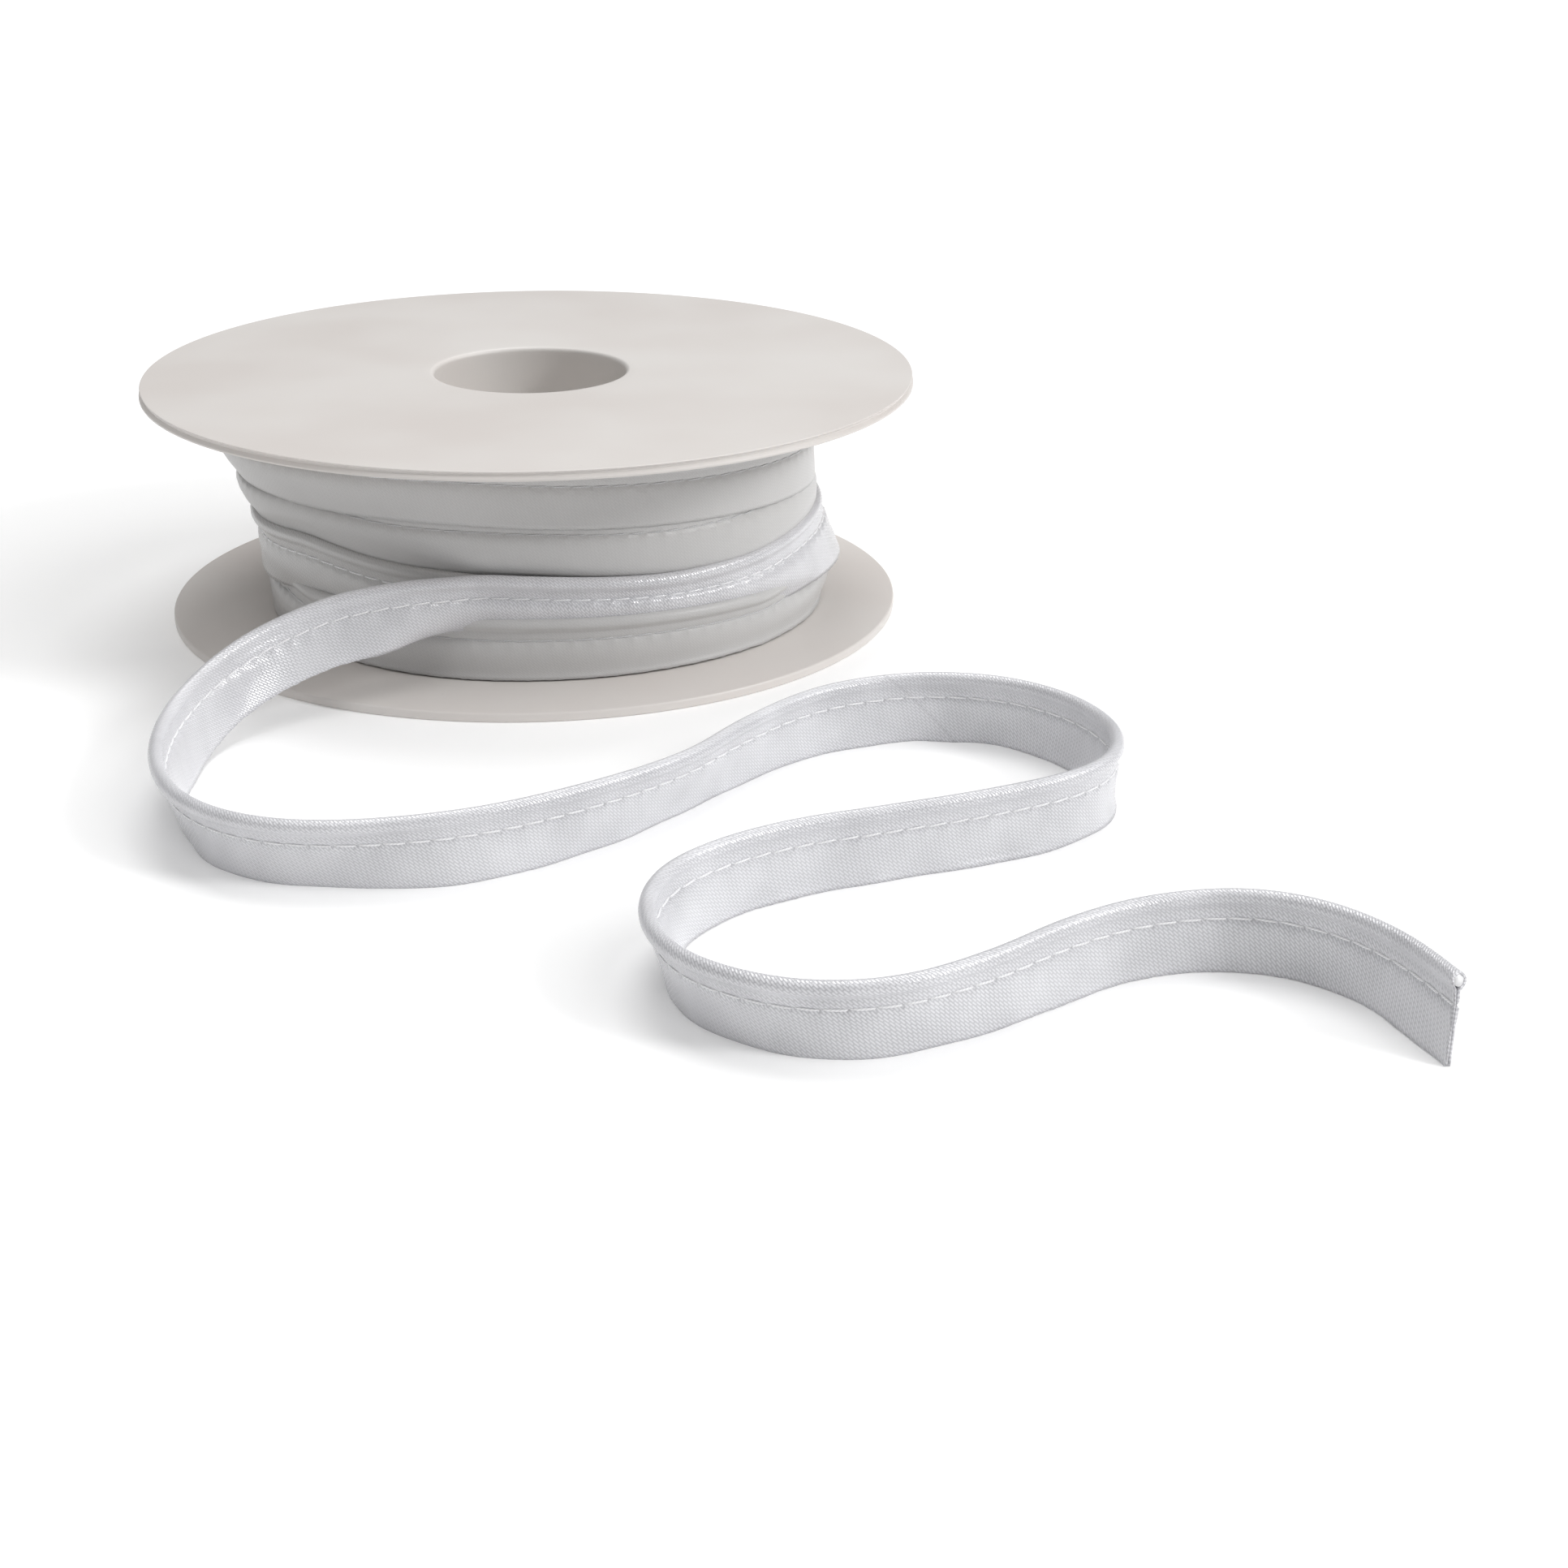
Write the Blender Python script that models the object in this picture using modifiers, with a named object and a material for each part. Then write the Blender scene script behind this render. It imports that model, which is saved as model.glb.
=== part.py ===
"""Reel of satin bias piping tape, lying on its side face with one end pulled off.

The tape is a strip of satin cut on the bias, folded over a thin cord and stitched
close to it. It is wound on a moulded reel: two flanges on a tube. The loose end
leaves the winding at the front, passes over the lower flange and stands on its
edge on the surface in three bends. Metres, +Z up, the surface is z = 0.
"""
import math

import bmesh
import bpy
from mathutils import Vector

MM = 0.001

# Reel
REEL_HEIGHT = 45.5 * MM
UPPER_FLANGE_RADIUS = 73.0 * MM
LOWER_FLANGE_RADIUS = 70.0 * MM
FLANGE_THICKNESS = 1.7 * MM
FLANGE_EDGE_ROUND = 0.5 * MM
BORE_RADIUS = 18.25 * MM
BORE_EDGE_ROUND = 0.5 * MM
CORE_RADIUS = 20.5 * MM
GAP = 0.3 * MM
TURNED_STEPS = 72
CORE_STEPS = 48

# Tape
TAPE_WIDTH = 12.0 * MM
BEAD_RADIUS = 1.2 * MM
CLOTH_THICKNESS = 1.0 * MM
STITCH_DEPTH = 4.3 * MM
STITCH_PINCH = 0.15 * MM

# Winding: the last wrap ends at the first angle, where the loose end leaves
WINDING_STEPS = 76
WINDING_BOTTOM = FLANGE_THICKNESS + GAP
WINDING_TOP = REEL_HEIGHT - FLANGE_THICKNESS - GAP
WINDING_BORE = CORE_RADIUS + GAP
CREASE_DEPTH = 1.2 * MM

# Loose end
LOOSE_STEPS = 118
ROUTE_FINENESS = 20
HEADING_STEP = 0.02

# Heights of the creases between the bands and radii of the bands, in millimetres, round the
# reel. The angle runs clockwise seen from above, from the front. B has its bead under A.
WRAP_COLUMNS = ("angle", "a_b", "b_c", "c_d", "a", "b", "b_foot", "c", "c_foot", "d", "d_foot")
WRAPS = (
    (14, 31.0, 22.6, 13.6, 55.3, 54.6, 52.6, 52.9, 52.6, 54.6, 54.0),
    (30, 31.0, 24.0, 14.2, 55.6, 54.8, 53.0, 53.4, 52.6, 53.9, 53.4),
    (50, 30.8, 25.8, 14.8, 56.2, 55.2, 53.6, 53.9, 52.8, 53.2, 52.4),
    (70, 30.5, 24.6, 14.6, 56.8, 55.4, 53.8, 54.2, 53.0, 52.4, 51.4),
    (90, 30.2, 23.6, 14.2, 57.0, 55.4, 53.8, 54.2, 53.2, 52.2, 51.0),
    (125, 30.6, 22.8, 13.4, 56.6, 55.4, 54.0, 54.6, 54.0, 53.6, 52.8),
    (160, 31.2, 22.4, 12.6, 55.8, 55.0, 53.8, 55.0, 54.8, 54.8, 54.2),
    (195, 31.0, 22.0, 12.2, 55.2, 54.6, 53.6, 55.4, 55.4, 55.6, 55.0),
    (230, 30.0, 21.6, 11.6, 54.8, 54.4, 53.6, 55.6, 56.4, 56.4, 55.8),
    (258, 27.6, 21.6, 9.6, 54.8, 54.6, 54.0, 55.8, 58.2, 57.4, 56.4),
    (276, 25.6, 21.4, 8.2, 54.8, 54.8, 54.4, 55.6, 59.0, 58.2, 56.0),
    (292, 26.6, 21.2, 9.8, 55.0, 54.8, 54.0, 55.7, 58.2, 57.6, 56.2),
    (315, 28.0, 20.5, 12.2, 55.0, 54.6, 53.2, 55.8, 55.8, 56.2, 55.6),
    (335, 29.0, 20.4, 12.9, 55.0, 54.4, 52.6, 55.6, 54.8, 55.4, 54.8),
    (360, 30.3, 21.6, 13.5, 55.1, 54.4, 52.4, 55.5, 54.5, 54.8, 54.2),
    (371, 31.0, 22.6, 13.6, 55.3, 54.6, 52.6, 55.4, 54.5, 54.6, 54.0),
)

# The loose end's lower edge from the reel's axis, in millimetres. The lean is in degrees,
# to the right of the way it runs, and the caught width is still held under the band below.
ROUTE_COLUMNS = ("x", "y", "z", "lean", "caught")
ROUTE = (
    (-12.8, -53.3, 13.9, 0, 4.4),
    (-20.6, -57.0, 12.4, 6, 2.4),
    (-27.8, -59.9, 10.4, 16, 0.8),
    (-34.6, -62.4, 8.8, 20, 0.0),
    (-41.0, -65.0, 7.0, 20, 0.0),
    (-46.8, -68.6, 5.0, 20, 0.0),
    (-51.6, -73.4, 2.8, 19, 0.0),
    (-54.9, -79.6, 1.0, 19, 0.0),
    (-56.9, -87.4, 0.1, 19, 0.0),
    (-57.6, -96.0, 0.0, 18, 0.0),
    (-57.3, -105.0, 0.0, 18, 0.0),
    (-55.8, -113.6, 0.0, 18, 0.0),
    (-52.6, -122.2, 0.0, 18, 0.0),
    (-46.6, -129.6, 0.0, 17, 0.0),
    (-38.2, -134.4, 0.0, 15, 0.0),
    (-27.6, -136.6, 0.0, 11, 0.0),
    (-15.3, -136.8, 0.0, 3, 0.0),
    (-3.2, -132.6, 0.0, 3, 0.0),
    (9.6, -123.4, 0.0, 10, 0.0),
    (21.0, -112.6, 0.0, 14, 0.0),
    (30.8, -101.6, 0.0, 9, 0.0),
    (42.0, -91.4, 0.0, 4, 0.0),
    (52.0, -86.0, 0.0, 0, 0.0),
    (64.0, -83.6, 0.0, -1, 0.0),
    (75.6, -86.4, 0.0, -3, 0.0),
    (84.0, -93.4, 0.0, -4, 0.0),
    (89.2, -103.0, 0.0, -3, 0.0),
    (90.6, -113.2, 0.0, -2, 0.0),
    (87.4, -122.8, 0.0, -2, 0.0),
    (79.4, -130.0, 0.0, -2, 0.0),
    (66.0, -135.8, 0.0, -1, 0.0),
    (50.0, -140.8, 0.0, 1, 0.0),
    (37.0, -144.8, 0.0, 2, 0.0),
    (26.0, -151.8, 0.0, 7, 0.0),
    (18.8, -160.8, 0.0, 14, 0.0),
    (16.4, -171.6, 0.0, 17, 0.0),
    (18.2, -182.4, 0.0, 16, 0.0),
    (24.4, -190.8, 0.0, 12, 0.0),
    (34.2, -195.8, 0.0, 9, 0.0),
    (45.6, -195.6, 0.0, 6, 0.0),
    (58.0, -190.6, 0.0, 0, 0.0),
    (70.6, -182.2, 0.0, -3, 0.0),
    (82.4, -176.6, 0.0, -4, 0.0),
    (95.0, -175.4, 0.0, -5, 0.0),
    (104.6, -180.4, 0.0, -8, 0.0),
    (111.2, -190.6, 0.0, -11, 0.0),
    (115.4, -206.0, 0.0, -12, 0.0),
)


def clear_scene():
    for item in list(bpy.context.scene.objects):
        bpy.data.objects.remove(item, do_unlink=True)


def plain_material(name, colour, roughness):
    material = bpy.data.materials.new(name)
    material.use_nodes = True
    shader = material.node_tree.nodes["Principled BSDF"]
    shader.inputs["Base Color"].default_value = (*colour, 1.0)
    shader.inputs["Roughness"].default_value = roughness
    shader.inputs["Metallic"].default_value = 0.0
    return material


def add_object(name, mesh, material, collection, parent):
    item = bpy.data.objects.new(name, mesh)
    mesh.materials.append(material)
    collection.objects.link(item)
    item.parent = parent
    return item


def smooth_reading(rows, column, place):
    """Value in one column at a place between rows: place 2.5 is halfway from row 2 to row 3."""
    last = len(rows) - 1
    first = min(int(place), last - 1)
    part = place - first
    before = rows[max(first - 1, 0)][column]
    start = rows[first][column]
    end = rows[first + 1][column]
    after = rows[min(first + 2, last)][column]
    start_slope = (end - before) / 2
    end_slope = (after - start) / 2
    square = part * part
    cube = square * part
    return (
        (2 * cube - 3 * square + 1) * start
        + (cube - 2 * square + part) * start_slope
        + (3 * square - 2 * cube) * end
        + (cube - square) * end_slope
    )


def loft(name, sections, ring):
    """Skin of equal closed sections, closed on itself as a ring or with a cap at each end."""
    mesh_data = bmesh.new()
    rows = [[mesh_data.verts.new(point) for point in section] for section in sections]
    count = len(rows[0])
    pairs = list(zip(rows, rows[1:]))
    if ring:
        pairs.append((rows[-1], rows[0]))
    for here, there in pairs:
        for i in range(count):
            j = (i + 1) % count
            mesh_data.faces.new((here[i], here[j], there[j], there[i]))
    if not ring:
        mesh_data.faces.new(rows[0])
        mesh_data.faces.new(rows[-1])
    bmesh.ops.triangulate(mesh_data, faces=mesh_data.faces)
    bmesh.ops.recalc_face_normals(mesh_data, faces=mesh_data.faces)
    mesh = bpy.data.meshes.new(name)
    mesh_data.to_mesh(mesh)
    mesh_data.free()
    mesh.shade_smooth()
    return mesh


def turned_mesh(name, profile):
    """Closed outline of (radius, height) points for a Screw modifier."""
    mesh_data = bmesh.new()
    points = [mesh_data.verts.new((radius, 0.0, height)) for radius, height in profile]
    for here, there in zip(points, points[1:] + points[:1]):
        mesh_data.edges.new((here, there))
    mesh = bpy.data.meshes.new(name)
    mesh_data.to_mesh(mesh)
    mesh_data.free()
    return mesh


def turned_object(name, profile, steps, material, collection, parent):
    item = add_object(name, turned_mesh(name, profile), material, collection, parent)
    screw = item.modifiers.new("turn", "SCREW")
    screw.steps = steps
    screw.render_steps = steps
    screw.use_merge_vertices = True
    screw.merge_threshold = 0.0001
    screw.use_smooth_shade = True
    return item


def rounded_corner(radius, height, turn, size):
    """Three points round an outer corner; turn is the corner's start angle in degrees."""
    points = []
    for angle in (turn, turn - 45, turn - 90):
        a = math.radians(angle)
        points.append((radius + size * math.cos(a), height + size * math.sin(a)))
    return points


def make_flange(name, radius, bottom, material, collection, parent):
    """Flat moulded disc with rounded rim and a rounded hole."""
    top = bottom + FLANGE_THICKNESS
    rim = radius - FLANGE_EDGE_ROUND
    lip = BORE_RADIUS + BORE_EDGE_ROUND
    profile = (
        rounded_corner(rim, top - FLANGE_EDGE_ROUND, 90, FLANGE_EDGE_ROUND)
        + rounded_corner(rim, bottom + FLANGE_EDGE_ROUND, 0, FLANGE_EDGE_ROUND)
        + rounded_corner(lip, bottom + BORE_EDGE_ROUND, -90, BORE_EDGE_ROUND)
        + rounded_corner(lip, top - BORE_EDGE_ROUND, 180, BORE_EDGE_ROUND)
    )
    return turned_object(name, profile, TURNED_STEPS, material, collection, parent)


def make_core(material, collection, parent):
    bottom = FLANGE_THICKNESS + GAP
    top = REEL_HEIGHT - FLANGE_THICKNESS - GAP
    profile = [(CORE_RADIUS, top), (CORE_RADIUS, bottom), (BORE_RADIUS, bottom), (BORE_RADIUS, top)]
    return turned_object("core_tube", profile, CORE_STEPS, material, collection, parent)


def beaded_band(top, foot, radius, foot_radius):
    """Outer line of a band that shows its bead, stitch line and flat part, top to bottom."""
    def along(depth):
        return radius + (foot_radius - radius) * depth / (top - foot)
    bead = BEAD_RADIUS
    flat = max((STITCH_DEPTH + top - foot) / 2, STITCH_DEPTH + 0.6 * MM)
    return [
        (along(0) - CREASE_DEPTH, top - 0.1 * MM),
        (along(0) - 0.45 * bead, top - 0.3 * bead),
        (along(bead), top - bead),
        (along(2 * bead) - 0.5 * bead, top - 2 * bead),
        (along(STITCH_DEPTH) - 0.7 * bead, top - STITCH_DEPTH),
        (along(flat) - 0.3 * bead, top - flat),
        (foot_radius - 0.2 * bead, foot + 0.5 * MM),
        (foot_radius - CREASE_DEPTH, foot + 0.1 * MM),
    ]


def plain_band(top, foot, radius, foot_radius):
    """Outer line of a band whose bead is covered: a flat part that sinks to its foot."""
    height = top - foot
    return [
        (radius - CREASE_DEPTH, top - 0.1 * MM),
        (radius, top - 0.15 * height),
        (radius - 0.1 * (radius - foot_radius), top - 0.4 * height),
        (radius - 0.45 * (radius - foot_radius), top - 0.7 * height),
        (foot_radius, foot + 0.6 * MM),
        (foot_radius - CREASE_DEPTH, foot + 0.1 * MM),
    ]


def winding_section(place):
    row = {name: smooth_reading(WRAPS, i, place) for i, name in enumerate(WRAP_COLUMNS)}
    size = {name: value * MM for name, value in row.items() if name != "angle"}
    line = [(WINDING_BORE, WINDING_TOP)]
    line += beaded_band(WINDING_TOP, size["a_b"], size["a"], size["a"] - 0.4 * MM)
    line += plain_band(size["a_b"], size["b_c"], size["b"], size["b_foot"])
    line += beaded_band(size["b_c"], size["c_d"], size["c"], size["c_foot"])
    line += beaded_band(size["c_d"], WINDING_BOTTOM, size["d"], size["d_foot"])
    line[1] = (line[1][0], WINDING_TOP)
    line[-1] = (line[-1][0], WINDING_BOTTOM)
    line.append((WINDING_BORE, WINDING_BOTTOM))
    angle = math.radians(row["angle"])
    return [(-radius * math.sin(angle), -radius * math.cos(angle), z) for radius, z in line]


def make_winding(material, collection, parent):
    last = len(WRAPS) - 1
    sections = [winding_section(last * i / WINDING_STEPS) for i in range(WINDING_STEPS + 1)]
    return add_object("tape_winding", loft("tape_winding", sections, True), material, collection, parent)


def tape_outline(caught):
    """Section of the tape: (across, up) points, the bead on top of the folded cloth."""
    half = CLOTH_THICKNESS / 2
    top = TAPE_WIDTH - caught
    bead_height = top - BEAD_RADIUS
    stitch = top - STITCH_DEPTH
    neck = bead_height - 0.9 * BEAD_RADIUS
    side = [(half, 0.0), (half, 0.5 * stitch), (half - STITCH_PINCH, stitch), (half, neck)]
    side += [(BEAD_RADIUS, bead_height), (0.7 * BEAD_RADIUS, bead_height + 0.7 * BEAD_RADIUS)]
    other_side = [(-across, up) for across, up in reversed(side)]
    return side + [(0.0, top)] + other_side


def route_reading(name, place):
    return smooth_reading(ROUTE, ROUTE_COLUMNS.index(name), place)


def route_point(place):
    return Vector([route_reading(name, place) * MM for name in ("x", "y", "z")])


def even_places(steps):
    """Places along the route that lie the same distance apart, and the route's length."""
    fine = ROUTE_FINENESS * (len(ROUTE) - 1)
    places = [i / ROUTE_FINENESS for i in range(fine + 1)]
    points = [route_point(place) for place in places]
    run = [0.0]
    for here, there in zip(points, points[1:]):
        run.append(run[-1] + (there - here).length)
    chosen = []
    i = 0
    for step in range(steps + 1):
        target = run[-1] * step / steps
        while i < fine - 1 and run[i + 1] < target:
            i += 1
        part = (target - run[i]) / (run[i + 1] - run[i])
        chosen.append(places[i] + min(part, 1.0) / ROUTE_FINENESS)
    return chosen, run[-1]


def loose_section(place):
    """The tape's section at a place on the route, square to the way it runs."""
    last = len(ROUTE) - 1
    here = route_point(place)
    behind = route_point(max(place - HEADING_STEP, 0))
    ahead = route_point(min(place + HEADING_STEP, last)) - behind
    right = Vector((ahead.y, -ahead.x, 0.0)).normalized()
    lean = math.radians(route_reading("lean", place))
    caught = max(route_reading("caught", place), 0.0) * MM
    across = right * math.cos(lean) - Vector((0, 0, 1)) * math.sin(lean)
    upward = right * math.sin(lean) + Vector((0, 0, 1)) * math.cos(lean)
    here.z = max(here.z, 0.0) + abs(math.sin(lean)) * CLOTH_THICKNESS / 2
    return [here + across * a + upward * u for a, u in tape_outline(caught)]


def make_loose_end(material, collection, parent):
    places, length = even_places(LOOSE_STEPS)
    sections = [loose_section(place) for place in places]
    item = add_object("loose_tape", loft("loose_tape", sections, False), material, collection, parent)
    return item, length


def centre_on_origin(parent, items):
    """Moves the parent so that the middle of the whole part stands over the origin."""
    bpy.context.view_layer.update()
    low = [math.inf, math.inf]
    high = [-math.inf, -math.inf]
    depsgraph = bpy.context.evaluated_depsgraph_get()
    for item in items:
        evaluated = item.evaluated_get(depsgraph)
        for vertex in evaluated.data.vertices:
            place = evaluated.matrix_world @ vertex.co
            for axis in (0, 1):
                low[axis] = min(low[axis], place[axis])
                high[axis] = max(high[axis], place[axis])
    parent.location.x = -(low[0] + high[0]) / 2
    parent.location.y = -(low[1] + high[1]) / 2


clear_scene()
reel_of_tape = bpy.data.collections.new("reel_of_piping_tape")
bpy.context.scene.collection.children.link(reel_of_tape)
reel_axis = bpy.data.objects.new("reel_axis", None)
reel_of_tape.objects.link(reel_axis)

plastic = plain_material("reel_plastic", (0.66, 0.63, 0.60), 0.42)
satin = plain_material("white_satin", (0.86, 0.86, 0.88), 0.36)

upper_bottom = REEL_HEIGHT - FLANGE_THICKNESS
pieces = [
    make_flange("upper_flange", UPPER_FLANGE_RADIUS, upper_bottom, plastic, reel_of_tape, reel_axis),
    make_flange("lower_flange", LOWER_FLANGE_RADIUS, 0.0, plastic, reel_of_tape, reel_axis),
    make_core(plastic, reel_of_tape, reel_axis),
    make_winding(satin, reel_of_tape, reel_axis),
]
loose_end, loose_length = make_loose_end(satin, reel_of_tape, reel_axis)
pieces.append(loose_end)
centre_on_origin(reel_axis, pieces)
print("loose end, metres:", round(loose_length, 4))
print("reel axis at:", [round(value, 5) for value in reel_axis.location])
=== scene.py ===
import math

import bmesh
import bpy
import numpy as np
from mathutils import Euler, Matrix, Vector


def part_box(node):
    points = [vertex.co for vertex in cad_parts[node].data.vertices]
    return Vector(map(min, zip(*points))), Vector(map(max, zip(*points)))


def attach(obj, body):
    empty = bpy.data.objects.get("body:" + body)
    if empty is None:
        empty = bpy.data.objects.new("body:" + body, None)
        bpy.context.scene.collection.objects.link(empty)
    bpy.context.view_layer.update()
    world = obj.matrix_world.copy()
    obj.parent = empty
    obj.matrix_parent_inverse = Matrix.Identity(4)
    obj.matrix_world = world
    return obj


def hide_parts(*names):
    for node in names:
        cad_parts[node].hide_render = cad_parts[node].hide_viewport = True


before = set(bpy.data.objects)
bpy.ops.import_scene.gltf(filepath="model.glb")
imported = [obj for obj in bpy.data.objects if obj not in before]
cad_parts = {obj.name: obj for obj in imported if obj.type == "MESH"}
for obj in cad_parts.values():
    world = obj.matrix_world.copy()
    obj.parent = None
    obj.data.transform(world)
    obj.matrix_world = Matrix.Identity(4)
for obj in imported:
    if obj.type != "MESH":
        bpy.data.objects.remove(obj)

MM = 0.001
CAMERA_BACK = 500.85 * MM
CAMERA_HEIGHT = 163.73 * MM
LOOKING_DOWN = math.radians(22.21)
LOOKING_RIGHT = math.radians(5.57)
CAMERA_ROLL = math.radians(0.17)
PHOTO_WIDTH = 1932
LENS_IN_PHOTO_PIXELS = 3270.9
SENSOR = 36.0

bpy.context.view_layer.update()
upper_low, upper_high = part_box("upper_flange")
reel_x = (upper_low.x + upper_high.x) / 2
reel_y = (upper_low.y + upper_high.y) / 2

camera = bpy.data.objects.new("camera", bpy.data.cameras.new("camera"))
bpy.context.scene.collection.objects.link(camera)
camera.data.sensor_width = SENSOR
camera.data.lens = LENS_IN_PHOTO_PIXELS / PHOTO_WIDTH * SENSOR
camera.data.clip_start = 10 * MM
camera.data.clip_end = 30.0
camera.location = (reel_x, reel_y - CAMERA_BACK, CAMERA_HEIGHT)
aim = Euler((math.pi / 2 - LOOKING_DOWN, 0.0, -LOOKING_RIGHT)).to_matrix()
camera.rotation_euler = (aim @ Matrix.Rotation(CAMERA_ROLL, 3, "Z")).to_euler()
bpy.context.scene.camera = camera


# The reel is moulded from warm white polystyrene: a tube with a flange at each end. It is
# one turned form, so its half section is shaped first and then spun round the reel's axis.
# The rim of the upper flange has a small lip where the two halves of its mould met.
lower_low, lower_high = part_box("lower_flange")
tube_low, tube_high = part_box("core_tube")
UPPER_RIM = (upper_high.x - upper_low.x) / 2
LOWER_RIM = (lower_high.x - lower_low.x) / 2
TUBE_RADIUS = (tube_high.x - tube_low.x) / 2
REEL_HEIGHT = upper_high.z
FLANGE = upper_high.z - upper_low.z
BORE_RADIUS = 18.25 * MM
RIM_LIP = 0.55 * MM
LIP_HEIGHT = 0.34 * MM
CHANNEL_TOP = 1.2 * MM
CORNER_ROUND = 0.38 * MM
BORE_ROUND = 0.85 * MM
REEL_TURNS = 160
NEAR = 0.02 * MM


def pick(piece, test):
    """Selects the points that pass the test, with the edges and faces between them."""
    points = bmesh.from_edit_mesh(piece.data)
    for face in points.faces:
        face.select = False
    for edge in points.edges:
        edge.select = False
    for point in points.verts:
        point.select = test(point.co)
    points.select_flush(True)
    bmesh.update_edit_mesh(piece.data)


def start_section(name, inner, outer, bottom, top):
    """A rectangle in the upright plane through the reel's axis, open in edit mode."""
    bpy.ops.object.select_all(action="DESELECT")
    middle = (reel_x + (inner + outer) / 2, reel_y, (bottom + top) / 2)
    bpy.ops.mesh.primitive_plane_add(size=1.0, location=middle, rotation=(math.pi / 2, 0, 0))
    piece = bpy.context.active_object
    piece.name = name
    piece.data.name = name
    piece.scale = (outer - inner, top - bottom, 1.0)
    bpy.ops.object.transform_apply(location=True, rotation=True, scale=True)
    bpy.ops.object.mode_set(mode="EDIT")
    return piece


def round_corner(piece, radius, height, size, segments):
    pick(piece, lambda co: abs(co.x - reel_x - radius) < NEAR and abs(co.z - height) < NEAR)
    bpy.ops.mesh.bevel(offset=size, segments=segments, affect="VERTICES")


def spin_section(piece, steps, sharp):
    """Turns the outline of the section round the reel's axis and closes it."""
    bpy.ops.mesh.select_all(action="SELECT")
    bpy.ops.mesh.delete(type="ONLY_FACE")
    bpy.ops.mesh.select_all(action="SELECT")
    bpy.ops.mesh.spin(
        steps=steps, angle=2 * math.pi, center=(reel_x, reel_y, 0.0), axis=(0.0, 0.0, 1.0)
    )
    bpy.ops.mesh.select_all(action="SELECT")
    bpy.ops.mesh.remove_doubles(threshold=0.001 * MM)
    bpy.ops.mesh.normals_make_consistent(inside=False)
    bpy.ops.object.mode_set(mode="OBJECT")
    bpy.ops.object.shade_smooth_by_angle(angle=math.radians(sharp))


reel = start_section("reel_moulding", BORE_RADIUS, TUBE_RADIUS, 0.0, REEL_HEIGHT)
for height in (FLANGE, REEL_HEIGHT - FLANGE):
    bpy.ops.mesh.select_all(action="SELECT")
    bpy.ops.mesh.bisect(plane_co=(0.0, 0.0, height), plane_no=(0.0, 0.0, 1.0))
pick(reel, lambda co: co.x > reel_x + TUBE_RADIUS - NEAR and co.z > REEL_HEIGHT - FLANGE - NEAR)
bpy.ops.mesh.extrude_region_move(
    TRANSFORM_OT_translate={"value": (UPPER_RIM - TUBE_RADIUS, 0.0, 0.0)}
)
pick(reel, lambda co: abs(co.x - reel_x - TUBE_RADIUS) < NEAR and co.z < FLANGE + NEAR)
bpy.ops.mesh.extrude_region_move(
    TRANSFORM_OT_translate={"value": (LOWER_RIM - TUBE_RADIUS, 0.0, 0.0)}
)
bpy.ops.mesh.select_all(action="SELECT")
bpy.ops.mesh.dissolve_faces()

pick(reel, lambda co: co.x > reel_x + UPPER_RIM - NEAR)
bpy.ops.mesh.subdivide(number_cuts=3)
lip_bottom = REEL_HEIGHT - FLANGE
lip_top = lip_bottom + LIP_HEIGHT
at_rim = reel_x + UPPER_RIM - NEAR
rim_moves = (
    (0.75, CHANNEL_TOP, -RIM_LIP),
    (0.5, LIP_HEIGHT + RIM_LIP, -RIM_LIP),
    (0.25, LIP_HEIGHT, 0.0),
)
for share, height, inwards in rim_moves:
    pick(reel, lambda co: co.x > at_rim and abs(co.z - lip_bottom - share * FLANGE) < NEAR)
    bpy.ops.transform.translate(value=(inwards, 0.0, height - share * FLANGE))

round_corner(reel, UPPER_RIM, REEL_HEIGHT, CORNER_ROUND, 5)
round_corner(reel, UPPER_RIM, lip_top, LIP_HEIGHT / 4, 3)
round_corner(reel, UPPER_RIM, lip_bottom, LIP_HEIGHT / 4, 3)
round_corner(reel, LOWER_RIM, FLANGE, CORNER_ROUND, 5)
round_corner(reel, LOWER_RIM, 0.0, CORNER_ROUND, 4)
round_corner(reel, BORE_RADIUS, REEL_HEIGHT, BORE_ROUND, 6)
round_corner(reel, BORE_RADIUS, 0.0, CORNER_ROUND, 4)
spin_section(reel, REEL_TURNS, 40)


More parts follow.
